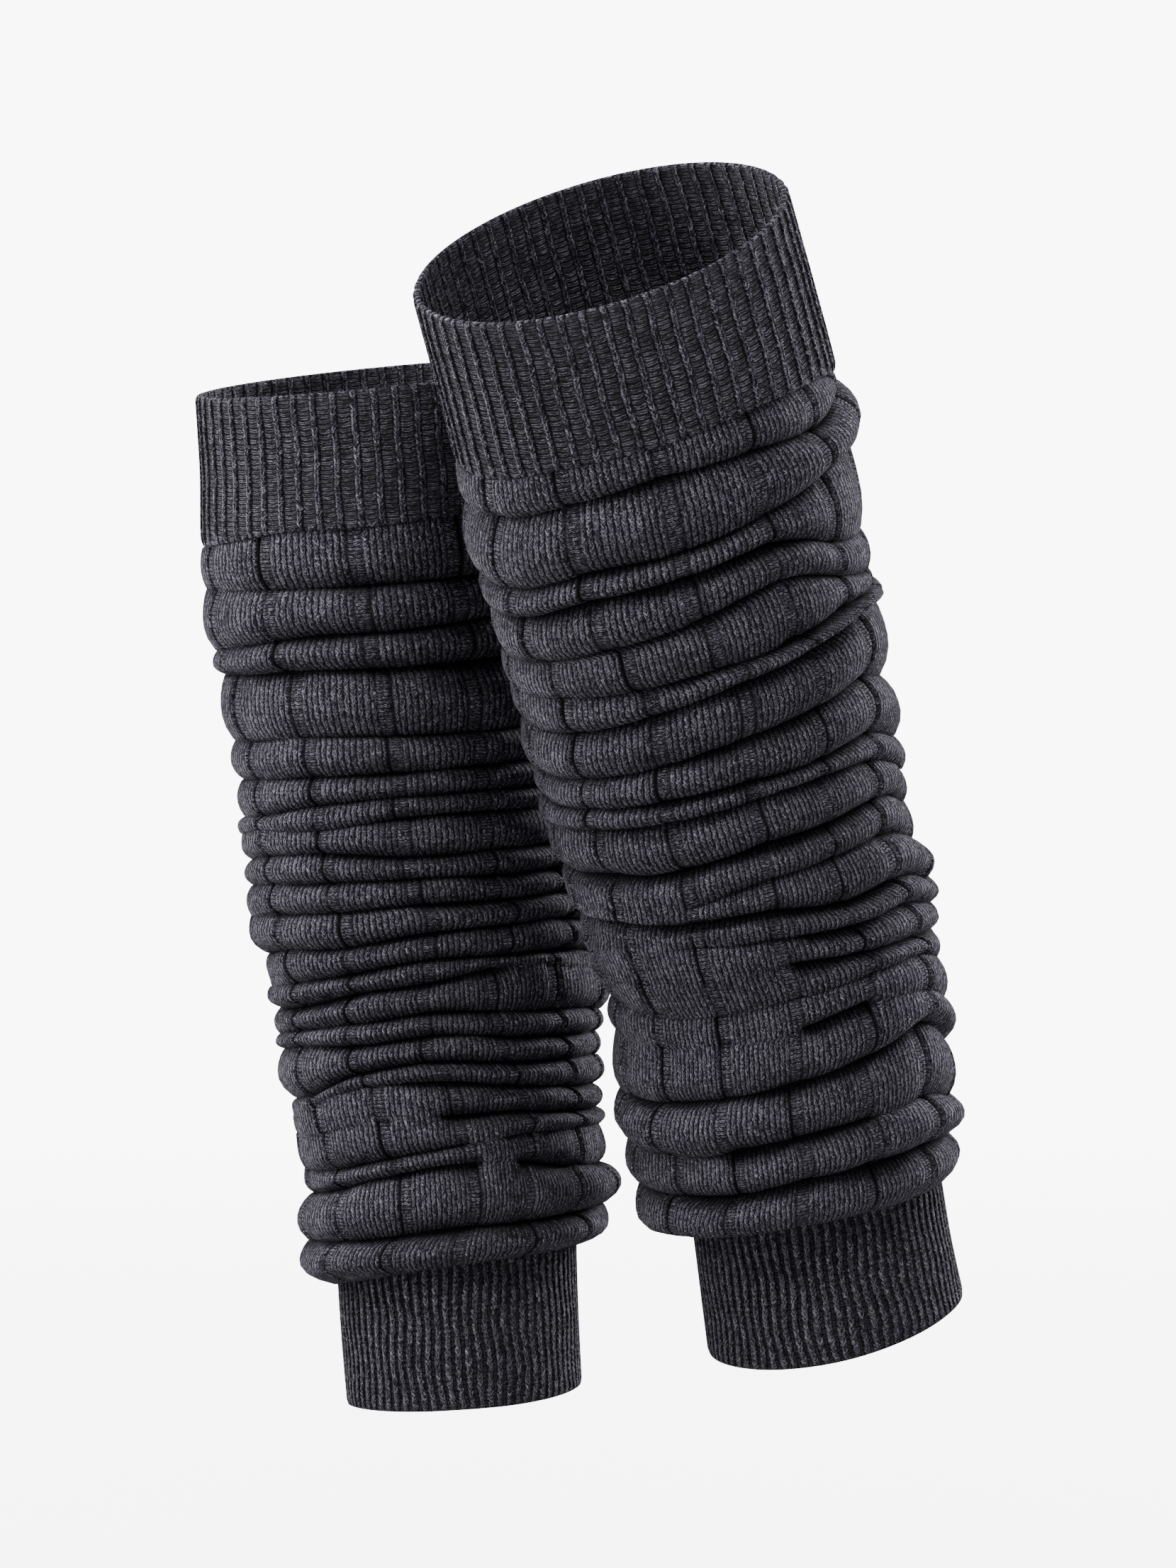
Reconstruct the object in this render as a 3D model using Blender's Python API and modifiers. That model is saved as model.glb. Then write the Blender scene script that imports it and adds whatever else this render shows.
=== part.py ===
"""A pair of knitted wool leg warmers, slouched into rolls and standing hollow as when worn.

Each leg warmer is one tube knitted in three lengths: a wide ribbed upper cuff, a panelled
leg that has slipped down into rolls, and a narrow one-by-one ribbed lower cuff.

Units are metres and +Z is up. -Y is the front, where the wearer looks, and +X is to the
right. The origin is on the leg's axis, in the middle of the front one's upper cuff.
Angles around a leg run from the front (0) to the right (90), the back (180) and the left.
"""
import math
from collections import namedtuple

import bmesh
import bpy
from mathutils import Vector

MM = 0.001

# Knitted cloth
WALL = 1.7 * MM
SEAM_GAP = 0.5 * MM
UPPER_RIBS = 56
LOWER_RIBS = 76
UPPER_RIB_RISE = 0.9 * MM
LOWER_RIB_RISE = 0.7 * MM
POINTS_AROUND_LEG = 24
PLAIN_POINTS_AROUND_CUFF = {UPPER_RIBS: 28, LOWER_RIBS: 38}
CUFF_STEPS = 2

# Slouch
LEAST_ROLL = 4.5
BACK_DROP = 0.6
BACK_WANDER = 1.5
BACK_WANDER_TURN = 2.4
LEAST_BACK_CUT = 2.2
LAST_ROLL_TUCK = 3.0
NEAREST_TRIES = 5

# A ring of the tube: the place of its centre in mm, half its width in mm, and in degrees
# how far it rises to the right (roll) and towards the back (pitch).
Ring = namedtuple("Ring", "across back up half_width roll pitch")

# A roll of slouched cloth ends at the crease below it. The first five columns are how far
# down the leg that crease lies, in mm from the rim; then how deep it cuts in, which is less
# than nothing where the crease stays proud, and how far the roll above it swells past the
# leg's own width on each side.
Roll = namedtuple(
    "Roll",
    "left front_left front front_right right cut_left cut_front cut_right swell_left swell_right",
)

# One row of the mesh along a roll, from its upper crease (share 0) to its lower one (1):
# how much of each crease's cut reaches it, how much of the swell, and how far the cloth
# sags as a share of the cut.
RollRow = namedtuple("RollRow", "share upper_cut lower_cut swell sag")
ROLL_ROWS = (
    RollRow(0.00, 1.00, 0.00, 0.0, 0.00),
    RollRow(0.34, 0.16, 0.00, 0.8, 0.10),
    RollRow(0.82, 0.00, 0.10, 1.0, 0.34),
)

FRONT_LEG_RINGS = (
    Ring(-6, -10, 23.5, 59.0, 17, 24.0),
    Ring(7, 10, -23, 60.0, 17, 23.0),
    Ring(16, 27, -64, 62.0, 17, 21.0),
    Ring(24, 40, -97, 60.0, 17, 19.0),
    Ring(29.5, 52, -130, 58.0, 16, 17.5),
    Ring(37, 61, -155, 57.0, 16, 16.5),
    Ring(43, 69, -180, 56.0, 14, 16.0),
    Ring(50, 76, -202, 53.0, 13, 15.5),
    Ring(52.5, 83, -228, 54.2, 13, 15.0),
    Ring(55.5, 90, -255, 53.5, 13, 14.5),
    Ring(56.5, 95, -274, 50.5, 13, 14.0),
    Ring(58, 98, -288, 47.0, 13, 14.0),
    Ring(61, 101, -303, 44.0, 13, 14.0),
)
FRONT_LOWER_CUFF_RINGS = (
    Ring(64.5, 96, -277, 40.5, 11, 4.0),
    Ring(67.5, 100, -297, 41.0, 12, 8.0),
    Ring(71, 104, -317, 42.0, 13, 12.0),
)
FRONT_UPPER_SEAM = Roll(54, 51, 48, 51, 61, 0, 0, 0, 0, 0)
FRONT_ROLLS = (
    Roll(67, 64, 59, 66, 83, 3.0, 5.0, 0.5, 1.0, 4.0),
    Roll(91, 88, 84, 83, 97, 3.5, 4.5, 0.5, 2.0, 1.5),
    Roll(102, 97, 93, 96, 117, 3.5, 5.0, 4.0, 0.0, -1.5),
    Roll(117, 115, 108, 108, 128, 3.0, 4.5, 2.5, -1.0, -1.0),
    Roll(129, 128, 126, 125, 133, 2.5, 3.5, 2.5, 0.0, -1.5),
    Roll(141, 140, 135, 134, 138, 3.5, 4.5, 0.5, 0.0, 1.5),
    Roll(159, 157, 153, 153, 163, 3.5, 4.5, 0.5, 0.0, 2.0),
    Roll(169, 168, 166, 168, 183, 2.5, 4.5, 2.0, -1.0, 3.0),
    Roll(178, 176, 174, 176, 195, 2.5, 4.0, 1.5, 0.0, 1.0),
    Roll(194, 192, 190, 193, 205, 4.0, 5.5, 2.5, 0.0, -0.5),
    Roll(203, 202, 201, 203, 218, 0.8, 3.0, 3.5, 0.0, -1.0),
    Roll(211, 208, 211, 217, 230, 4.0, 5.5, -1.0, 0.0, 3.5),
    Roll(220, 218, 220, 224, 238, 2.5, 3.5, -0.5, -2.0, 3.5),
    Roll(232, 231, 231, 235, 246, 0.6, 1.5, 3.0, -1.0, 2.0),
    Roll(244, 243, 243, 241, 256, 3.0, 2.5, 0.5, 0.0, 1.0),
    Roll(255, 254, 252, 254, 271, 0.6, 2.0, 0.0, 1.5, 2.5),
    Roll(276, 274, 271, 267, 284, 1.5, 5.5, 0.5, 1.0, 3.5),
    Roll(291, 290, 289, 291, 303, 3.0, 5.0, 2.0, 2.0, 1.5),
    Roll(307, 304, 303, 306, 314, 5.0, 5.5, 2.0, 0.0, 5.0),
)
FRONT_LAST_ROLL_SWELL = (0.0, 5.0)

REAR_LEG_RINGS = (
    Ring(-78.5, 112, -9.5, 59.0, 5.5, 7.6),
    Ring(-76.5, 117, -34, 59.8, 5.5, 7.0),
    Ring(-75, 121, -59, 61.0, 5.0, 6.0),
    Ring(-70.5, 125, -94, 62.2, 5.0, 5.0),
    Ring(-67.5, 129, -129, 60.7, 4.5, 4.5),
    Ring(-65, 131, -160, 59.3, 4.0, 4.0),
    Ring(-62.5, 133, -188, 58.0, 4.0, 3.5),
    Ring(-59, 135, -211, 54.8, 3.5, 3.0),
    Ring(-57.5, 136, -235, 53.2, 3.5, 3.0),
    Ring(-54.5, 137, -258, 51.3, 3.5, 3.0),
    Ring(-52.5, 138, -277, 50.8, 4.0, 3.0),
    Ring(-53.5, 139, -298, 48.5, 4.5, 3.0),
    Ring(-52, 140, -312, 44.0, 5.0, 3.0),
)
REAR_LOWER_CUFF_RINGS = (
    Ring(-53, 139, -299, 39.5, 9, -3.0),
    Ring(-52, 139.5, -321, 39.0, 7, 0.0),
    Ring(-50.5, 140, -344, 38.5, 5, 3.0),
)
REAR_UPPER_SEAM = Roll(51, 47, 45, 45, 50, 0, 0, 0, 0, 0)
REAR_ROLLS = (
    Roll(65, 64, 64, 63, 67, 0.5, 4.0, 4.0, 1.0, 1.0),
    Roll(85, 81, 80, 78, 80, 1.0, 5.0, 4.5, 2.5, 1.0),
    Roll(93, 91, 91, 90, 92, 4.0, 5.0, 4.5, 1.0, 0.0),
    Roll(115, 114, 113, 115, 118, 3.0, 4.5, 4.0, 0.0, 0.0),
    Roll(128, 127, 126, 127, 130, 4.0, 4.5, 4.0, -0.5, 0.0),
    Roll(141, 137, 134, 135, 139, 3.0, 4.0, 4.0, -1.0, 0.0),
    Roll(147, 144, 141, 142, 146, 2.0, 3.5, 3.5, 0.0, 0.0),
    Roll(156, 154, 153, 154, 158, 3.0, 4.5, 4.0, 0.0, 0.0),
    Roll(164, 162, 161, 162, 167, 3.0, 4.0, 4.0, 0.0, 0.0),
    Roll(174, 172, 170, 170, 176, 1.0, 5.0, 3.5, 0.0, 0.0),
    Roll(187, 184, 180, 180, 186, 4.0, 4.5, 4.0, 1.0, 0.0),
    Roll(199, 194, 188, 189, 194, 0.5, 4.5, 4.0, -1.0, 0.0),
    Roll(206, 203, 197, 196, 200, 3.0, 5.0, 2.0, 1.5, 0.0),
    Roll(215, 210, 206, 209, 213, 0.5, 4.5, 1.0, 1.0, 2.0),
    Roll(220, 216, 213, 217, 220, 2.0, 4.5, 3.0, 1.0, 0.0),
    Roll(236, 229, 222, 225, 228, 3.5, 4.5, 2.5, 1.5, -0.5),
    Roll(242, 236, 228, 232, 237, 1.0, 3.5, 4.0, -0.5, 0.0),
    Roll(248, 245, 240, 241, 245, 1.0, 4.0, 4.5, 0.0, -1.0),
    Roll(259, 256, 249, 249, 251, 1.5, 4.5, 2.5, 0.0, 0.0),
    Roll(268, 263, 256, 261, 264, 4.0, 3.5, 4.5, -0.5, -1.0),
    Roll(283, 280, 277, 276, 278, 0.5, 5.0, 2.0, 3.0, 3.5),
)
REAR_LAST_ROLL_SWELL = (3.0, 1.5)

# What is knitted: the collection, and one plain wool for each length
WOOL_ROUGHNESS = 0.95
UPPER_CUFF_WOOL = (0.030, 0.028, 0.035, 1.0)
LEG_WOOL = (0.033, 0.031, 0.039, 1.0)
LOWER_CUFF_WOOL = (0.036, 0.033, 0.042, 1.0)


def clear_scene():
    for old in list(bpy.data.objects):
        bpy.data.objects.remove(old, do_unlink=True)


def wool(name, colour):
    material = bpy.data.materials.new(name)
    material.use_nodes = True
    shader = material.node_tree.nodes["Principled BSDF"]
    shader.inputs["Base Color"].default_value = colour
    shader.inputs["Roughness"].default_value = WOOL_ROUGHNESS
    shader.inputs["Metallic"].default_value = 0.0
    material.diffuse_color = colour
    return material


def smooth_through(knots, place, closed):
    """A smooth curve through evenly spaced values, read at a place counted in knots."""
    count = len(knots)
    whole = math.floor(place)
    if not closed:
        whole = min(max(whole, 0), count - 2)
    part = place - whole
    near = []
    for step in (-1, 0, 1, 2):
        index = whole + step
        near.append(knots[index % count] if closed else knots[min(max(index, 0), count - 1)])
    before, start, end, after = near
    bend = 2 * before - 5 * start + 4 * end - after
    twist = 3 * (start - end) + after - before
    return start + 0.5 * part * (end - before + part * (bend + part * twist))


def all_round(left, front_left, front, front_right, right, back):
    """Eight values, one for each eighth of a turn from the front, to the right and round."""
    return (front, front_right, right, (right + back) / 2, back, (left + back) / 2, left, front_left)


def around(knots, angle):
    return smooth_through(knots, angle / (math.tau / len(knots)), closed=True)


def crease_knots(roll, number):
    """How far down a crease lies: planes of slouched cloth hang lower at the unseen back."""
    sides = (roll.left + roll.right) / 2
    back = sides + BACK_DROP * (sides - roll.front) + BACK_WANDER * math.sin(BACK_WANDER_TURN * number)
    return all_round(roll.left, roll.front_left, roll.front, roll.front_right, roll.right, back)


def cut_knots(roll):
    back = max(LEAST_BACK_CUT, (roll.cut_left + roll.cut_right) / 2)
    front_left = (roll.cut_left + roll.cut_front) / 2
    front_right = (roll.cut_front + roll.cut_right) / 2
    return all_round(roll.cut_left, front_left, roll.cut_front, front_right, roll.cut_right, back)


def swell_at(left, right, angle):
    """A roll's swell: its left value on the left, its right on the right, none in between."""
    side = math.sin(angle)
    return (right if side > 0 else left) * side * side


def lengths_down(rings):
    """How far each ring's centre is from the first, along the line through the centres."""
    total = 0.0
    lengths = [total]
    for upper, lower in zip(rings, rings[1:]):
        total += (Vector(lower[:3]) - Vector(upper[:3])).length
        lengths.append(total)
    return lengths


def ring_at(rings, lengths, down):
    """The ring at a distance down the leg, every one of its values on a smooth curve."""
    number = 0
    while number < len(rings) - 2 and down > lengths[number + 1]:
        number += 1
    place = number + (down - lengths[number]) / (lengths[number + 1] - lengths[number])
    return Ring(*(smooth_through([ring[column] for ring in rings], place, closed=False)
                  for column in range(len(Ring._fields))))


def ring_axes(ring):
    """The directions in a ring's plane to its right and to its back."""
    roll = math.radians(ring.roll)
    pitch = math.radians(ring.pitch)
    rightwards = Vector((math.cos(roll), 0.0, math.sin(roll)))
    backwards = Vector((-math.sin(roll) * math.sin(pitch), math.cos(pitch),
                        math.cos(roll) * math.sin(pitch)))
    return rightwards, backwards


def ring_normal(ring):
    rightwards, backwards = ring_axes(ring)
    return rightwards.cross(backwards)


def on_ring(ring, angle, out):
    """A point of a ring, moved out by so many mm."""
    rightwards, backwards = ring_axes(ring)
    centre = Vector((ring.across, ring.back, ring.up))
    arm = rightwards * math.sin(angle) - backwards * math.cos(angle)
    return (centre + arm * (ring.half_width + out)) * MM


def angles(count):
    return [math.tau * step / count for step in range(count)]


def down_of(point, rings, lengths, angle):
    """How far down the leg its own ring passes nearest to a point at the same angle."""
    down = lengths[-1]
    for _ in range(NEAREST_TRIES):
        here = on_ring(ring_at(rings, lengths, down), angle, 0.0)
        step = on_ring(ring_at(rings, lengths, down + 1.0), angle, 0.0) - here
        down += (point - here).dot(step) / step.length_squared
    return down


def leg_column(angle, rings, lengths, creases, cuts, swells, last_point):
    """One line of points down the slouched leg's outer face, three for each roll."""
    half_gap = SEAM_GAP / MM / 2
    downs = [around(creases[0], angle) + half_gap]
    for knots in creases[1:]:
        downs.append(max(around(knots, angle), downs[-1] + LEAST_ROLL))
    downs.append(max(down_of(last_point, rings, lengths, angle), downs[-1] + LEAST_ROLL))
    depths = [around(knots, angle) for knots in cuts]
    depths.append(depths[-1])
    points = []
    for number, swell in enumerate(swells):
        height = downs[number + 1] - downs[number]
        for row in ROLL_ROWS:
            cut = row.upper_cut * depths[number] + row.lower_cut * depths[number + 1]
            out = row.swell * swell_at(*swell, angle) - cut
            if number == len(swells) - 1:
                out -= row.share * LAST_ROLL_TUCK
            sag = row.sag * (depths[number] + depths[number + 1]) / 2
            down = downs[number] + row.share * height + sag
            points.append(on_ring(ring_at(rings, lengths, down), angle, out))
    points.append(last_point)
    return points


def leg_rows(rings, upper_seam, rolls, last_swell, cuff_top):
    """The rows of the slouched leg's outer face, from its upper seam to the lower cuff."""
    lengths = lengths_down(rings)
    creases = [crease_knots(roll, number) for number, roll in enumerate((upper_seam,) + rolls)]
    cuts = [cut_knots(roll) for roll in (upper_seam,) + rolls]
    swells = [(roll.swell_left, roll.swell_right) for roll in rolls] + [last_swell]
    lift = ring_normal(cuff_top) * SEAM_GAP
    columns = []
    for angle in angles(POINTS_AROUND_LEG):
        last_point = on_ring(cuff_top, angle, LOWER_RIB_RISE / MM) + lift
        columns.append(leg_column(angle, rings, lengths, creases, cuts, swells, last_point))
    return [list(row) for row in zip(*columns)]


def cuff_rows(ring_of, count, rise):
    """Rows of a cuff's face, every second point raised: ring_of gives a row's ring."""
    rows = []
    for step in range(CUFF_STEPS + 1):
        rows.append([on_ring(ring_of(step / CUFF_STEPS, angle), angle, (number % 2) * rise / MM)
                     for number, angle in enumerate(angles(count))])
    return rows


def add_rows(shape, rows):
    return [[shape.verts.new(point) for point in row] for row in rows]


def skin(shape, rows):
    """Quads between neighbouring rows of a tube, facing out when the rows run down."""
    for upper, lower in zip(rows, rows[1:]):
        for number in range(len(upper)):
            after = (number + 1) % len(upper)
            shape.faces.new((upper[number], lower[number], lower[after], upper[after]))


def close_rim(shape, outer, inner):
    """Triangles across the wall's edge, between a fine outer ring and a plain inner one."""
    share = len(outer) // len(inner)
    for number in range(len(outer)):
        after = (number + 1) % len(outer)
        inside = inner[((number + share // 2) // share) % len(inner)]
        next_inside = inner[((number + 1 + share // 2) // share) % len(inner)]
        shape.faces.new((outer[number], outer[after], inside))
        if next_inside is not inside:
            shape.faces.new((outer[after], next_inside, inside))


def add_piece(name, shape, material, collection):
    bmesh.ops.recalc_face_normals(shape, faces=shape.faces)
    mesh = bpy.data.meshes.new(name)
    shape.to_mesh(mesh)
    shape.free()
    mesh.shade_smooth()
    mesh.materials.append(material)
    piece = bpy.data.objects.new(name, mesh)
    collection.objects.link(piece)
    return piece


def make_leg(name, rows, material, collection):
    """The slouched leg: an open skin of rolls, thickened inwards to the cloth's wall."""
    shape = bmesh.new()
    skin(shape, add_rows(shape, rows))
    piece = add_piece(name, shape, material, collection)
    thicken = piece.modifiers.new("Cloth wall", "SOLIDIFY")
    thicken.thickness = WALL
    thicken.offset = -1.0
    thicken.use_even_offset = True
    thicken.use_rim = True
    return piece


def make_cuff(name, ring_of, ribs, rise, material, collection):
    """A ribbed cuff: ridges on the outer points of the wall, over a plain inside."""
    shape = bmesh.new()
    outer = add_rows(shape, cuff_rows(ring_of, 2 * ribs, rise))
    plain = PLAIN_POINTS_AROUND_CUFF[ribs]
    inner_rows = []
    for step in range(CUFF_STEPS + 1):
        inner_rows.append([on_ring(ring_of(step / CUFF_STEPS, angle), angle, -WALL / MM)
                           for angle in angles(plain)])
    inner = add_rows(shape, inner_rows)
    skin(shape, outer)
    skin(shape, inner)
    close_rim(shape, outer[0], inner[0])
    close_rim(shape, outer[-1], inner[-1])
    return add_piece(name, shape, material, collection)


def make_leg_warmer(prefix, rings, cuff_rings, upper_seam, rolls, last_swell, wools, collection):
    lengths = lengths_down(rings)
    cuff_lengths = lengths_down(cuff_rings)
    seam_knots = crease_knots(upper_seam, 0)
    half_gap = SEAM_GAP / MM / 2

    def upper_ring(share, angle):
        return ring_at(rings, lengths, share * (around(seam_knots, angle) - half_gap))

    def lower_ring(share, angle):
        return ring_at(cuff_rings, cuff_lengths, share * cuff_lengths[-1])

    upper_wool, leg_wool, lower_wool = wools
    make_cuff(prefix + "_upper_cuff", upper_ring, UPPER_RIBS, UPPER_RIB_RISE, upper_wool, collection)
    rows = leg_rows(rings, upper_seam, rolls, last_swell, cuff_rings[0])
    make_leg(prefix + "_leg", rows, leg_wool, collection)
    make_cuff(prefix + "_lower_cuff", lower_ring, LOWER_RIBS, LOWER_RIB_RISE, lower_wool, collection)


def build():
    clear_scene()
    collection = bpy.data.collections.new("leg_warmers")
    bpy.context.scene.collection.children.link(collection)
    for prefix, rings, cuff_rings, seam, rolls, last_swell in (
        ("front", FRONT_LEG_RINGS, FRONT_LOWER_CUFF_RINGS, FRONT_UPPER_SEAM, FRONT_ROLLS,
         FRONT_LAST_ROLL_SWELL),
        ("rear", REAR_LEG_RINGS, REAR_LOWER_CUFF_RINGS, REAR_UPPER_SEAM, REAR_ROLLS,
         REAR_LAST_ROLL_SWELL),
    ):
        wools = (
            wool(prefix + " upper cuff wool", UPPER_CUFF_WOOL),
            wool(prefix + " leg wool", LEG_WOOL),
            wool(prefix + " lower cuff wool", LOWER_CUFF_WOOL),
        )
        make_leg_warmer(prefix, rings, cuff_rings, seam, rolls, last_swell, wools, collection)


build()
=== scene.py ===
import math
from collections import namedtuple

import bpy
import numpy as np
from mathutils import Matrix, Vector


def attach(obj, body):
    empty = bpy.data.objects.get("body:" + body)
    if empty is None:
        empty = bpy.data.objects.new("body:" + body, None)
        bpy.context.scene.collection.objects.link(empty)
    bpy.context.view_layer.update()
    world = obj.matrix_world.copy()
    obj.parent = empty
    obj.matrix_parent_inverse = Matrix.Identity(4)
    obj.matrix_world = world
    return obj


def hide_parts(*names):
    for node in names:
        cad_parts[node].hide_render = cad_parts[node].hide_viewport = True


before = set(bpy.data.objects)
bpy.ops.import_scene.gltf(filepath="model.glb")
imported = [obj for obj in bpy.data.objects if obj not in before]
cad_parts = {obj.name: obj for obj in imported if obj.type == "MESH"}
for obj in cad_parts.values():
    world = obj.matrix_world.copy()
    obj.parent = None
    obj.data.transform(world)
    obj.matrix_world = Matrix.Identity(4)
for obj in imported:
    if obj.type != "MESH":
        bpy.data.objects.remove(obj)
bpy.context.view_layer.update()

# Camera, floor and light
# A level camera on a long lens faces the front of both legs. Under the hems lies a pale floor
# that fades into the bright room. One soft light stands high in front, one at the left side
# and one behind at each side, so that the wool's edges catch some light.

MIDDLE = Vector((-0.0095, 0.052, -0.1425))
CAMERA_AWAY = 1.8

camera_lens = bpy.data.cameras.new("camera")
camera_lens.lens = 130.6
camera = bpy.data.objects.new("camera", camera_lens)
camera.location = MIDDLE - Vector((0, CAMERA_AWAY, 0))
camera.rotation_euler = (math.radians(90), 0, 0)
bpy.context.collection.objects.link(camera)
bpy.context.scene.camera = camera


def put(tree, kind, *inputs, **settings):
    """A new node: its first inputs are linked to sockets or set to numbers, in order."""
    node = tree.nodes.new(kind)
    place = len(tree.nodes)
    node.location = (200 * (place % 10), -220 * (place // 10))
    for name, value in settings.items():
        setattr(node, name, value)
    for socket, value in zip(node.inputs, inputs):
        if isinstance(value, bpy.types.NodeSocket):
            tree.links.new(value, socket)
        elif value is not None:
            socket.default_value = value
    return node


def reckon(tree, operation, *inputs):
    return put(tree, "ShaderNodeMath", *inputs, operation=operation).outputs[0]


def ranged(tree, value, low, high, out_low=0.0, out_high=1.0):
    """A value's place from low to high, as a number from out_low to out_high."""
    return put(tree, "ShaderNodeMapRange", value, low, high, out_low, out_high).outputs[0]


def soft_light(name, place, width, height, watts):
    data = bpy.data.lights.new(name, "AREA")
    data.shape = "RECTANGLE"
    data.size = width
    data.size_y = height
    data.energy = watts
    light = bpy.data.objects.new(name, data)
    light.location = place
    light.rotation_euler = (MIDDLE - light.location).to_track_quat("-Z", "Y").to_euler()
    bpy.context.collection.objects.link(light)


soft_light("key light", place=(0.05, -1.5, 1.9), width=0.9, height=0.9, watts=61)
soft_light("left side light", place=(-1.6, -0.15, 0.35), width=0.4, height=1.0, watts=26)
soft_light("left edge light", place=(-1.5, 0.8, 0.6), width=0.5, height=1.0, watts=41)
soft_light("right edge light", place=(1.5, 1.2, 0.7), width=0.5, height=1.0, watts=68)

WHITE = (1, 1, 1, 1)
ROOM_BRIGHTNESS = 9.0
ROOM_TINT = (0.92, 0.905, 1.0, 1)

room = bpy.data.worlds.new("pale room")
room.use_nodes = True
tree = room.node_tree
tree.nodes.clear()
seen = put(tree, "ShaderNodeLightPath").outputs["Is Camera Ray"]
way = put(tree, "ShaderNodeSeparateXYZ", put(tree, "ShaderNodeTexCoord").outputs["Generated"])
overhead = ranged(tree, way.outputs["Z"], low=-0.3, high=0.9, out_low=0.06, out_high=0.75)
rightward = ranged(tree, way.outputs["X"], low=-0.7, high=0.7, out_low=0.6, out_high=1.1)
lit = put(tree, "ShaderNodeBackground", ROOM_TINT, reckon(tree, "MULTIPLY", overhead, rightward))
bright = put(tree, "ShaderNodeBackground", WHITE, ROOM_BRIGHTNESS)
both = put(tree, "ShaderNodeMixShader", seen, lit.outputs[0], bright.outputs[0])
put(tree, "ShaderNodeOutputWorld", both.outputs[0])
bpy.context.scene.world = room

paint = bpy.data.materials.new("pale floor paint")
paint.use_nodes = True
tree = paint.node_tree
tree.nodes.clear()
seen = put(tree, "ShaderNodeLightPath").outputs["Is Camera Ray"]
place = put(tree, "ShaderNodeNewGeometry").outputs["Position"]
far = put(tree, "ShaderNodeVectorMath", place, operation="LENGTH").outputs["Value"]
fade = ranged(tree, far, low=0.3, high=2.5, out_low=0.72)
matt = put(tree, "ShaderNodeBsdfPrincipled", (0.35, 0.35, 0.35, 1))
matt.inputs["Roughness"].default_value = 0.8
shine = put(tree, "ShaderNodeEmission", WHITE, ROOM_BRIGHTNESS)
glow = reckon(tree, "MULTIPLY", fade, seen)
both = put(tree, "ShaderNodeMixShader", glow, matt.outputs[0], shine.outputs[0])
put(tree, "ShaderNodeOutputMaterial", both.outputs[0])

FLOOR_HEIGHT = -0.40
FLOOR_RADIUS = 12
FLOOR_POINTS = 96

turns = [math.tau * point / FLOOR_POINTS for point in range(FLOOR_POINTS)]
rim = [(FLOOR_RADIUS * math.cos(turn), FLOOR_RADIUS * math.sin(turn), FLOOR_HEIGHT) for turn in turns]
floor_mesh = bpy.data.meshes.new("floor")
floor_mesh.from_pydata(rim, [], [list(range(FLOOR_POINTS))])
floor_mesh.materials.append(paint)
floor = bpy.data.objects.new("floor", floor_mesh)
bpy.context.collection.objects.link(floor)

# Front leg warmer: upper cuff
# The wide cuff that grips the calf. It is wool knitted in 56 narrow plain ribs with a ladder
# of stretched rungs between each two, and ends at the top in a small rolled rim.

MM = 0.001
CLOTH = 1.5
SEAM_GAP = 0.3

# A ring of the tube: its centre in mm, half its width in mm, and in degrees how far it rises
# to the right (roll) and towards the back (pitch).
Ring = namedtuple("Ring", "across back up half_width roll pitch")
FRONT_RINGS = np.array((
    Ring(-6, -10, 23.5, 59.0, 17, 24.0),
    Ring(7, 10, -23, 60.0, 17, 23.0),
    Ring(16, 27, -64, 62.0, 17, 21.0),
    Ring(24, 40, -97, 60.0, 17, 19.0),
    Ring(29.5, 52, -130, 58.0, 16, 17.5),
    Ring(37, 61, -155, 57.0, 16, 16.5),
    Ring(43, 69, -180, 56.0, 14, 16.0),
    Ring(50, 76, -202, 53.0, 13, 15.5),
    Ring(52.5, 83, -228, 54.2, 13, 15.0),
    Ring(55.5, 90, -255, 53.5, 13, 14.5),
    Ring(56.5, 95, -274, 50.5, 13, 14.0),
    Ring(58, 98, -288, 47.0, 13, 14.0),
    Ring(61, 101, -303, 44.0, 13, 14.0),
))

# How far down the leg a crease or seam lies, in mm from the rim, at seven places round the
# front half, 30 degrees apart from the left side to the right.
Crease = namedtuple("Crease", "left left_60 left_30 front right_30 right_60 right")
FRONT_UPPER_SEAM = Crease(54, 53, 49, 48, 48, 53, 61)

# Behind, a crease hangs lower than at the sides by a share of its fall from front to sides,
# and sways up or down by a mm or so from each crease to the next.
BACK_HANG = 0.6
BACK_SWAY = 1.5
SWAY_STEP = 2.4

# One column of a rib: where it lies across the rib as a share of its pitch, how far it
# stands proud in mm, whether it is ladder (1) or plain rib (0), its painted shade (a dark line
# in the groove beside a ridge), and its wale.
RibPoint = namedtuple("RibPoint", "across rise ladder line wale")
UPPER_RIB = np.array((
    RibPoint(0.00, 0.60, 0.0, 0.60, 0.50),
    RibPoint(0.05, 0.85, 0.0, 0.00, 0.62),
    RibPoint(0.13, 0.78, 0.0, 0.00, 0.82),
    RibPoint(0.19, 0.15, 0.3, 0.50, 1.00),
    RibPoint(0.24, 0.00, 1.0, 0.10, 1.10),
    RibPoint(0.36, -0.08, 1.0, 0.00, 1.30),
    RibPoint(0.50, -0.12, 1.0, 0.00, 1.50),
    RibPoint(0.64, -0.08, 1.0, 0.00, 1.70),
    RibPoint(0.76, 0.00, 1.0, 0.10, 1.90),
    RibPoint(0.81, 0.15, 0.3, 0.50, 2.00),
    RibPoint(0.87, 0.78, 0.0, 0.00, 2.18),
    RibPoint(0.95, 0.85, 0.0, 0.00, 2.38),
))


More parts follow.
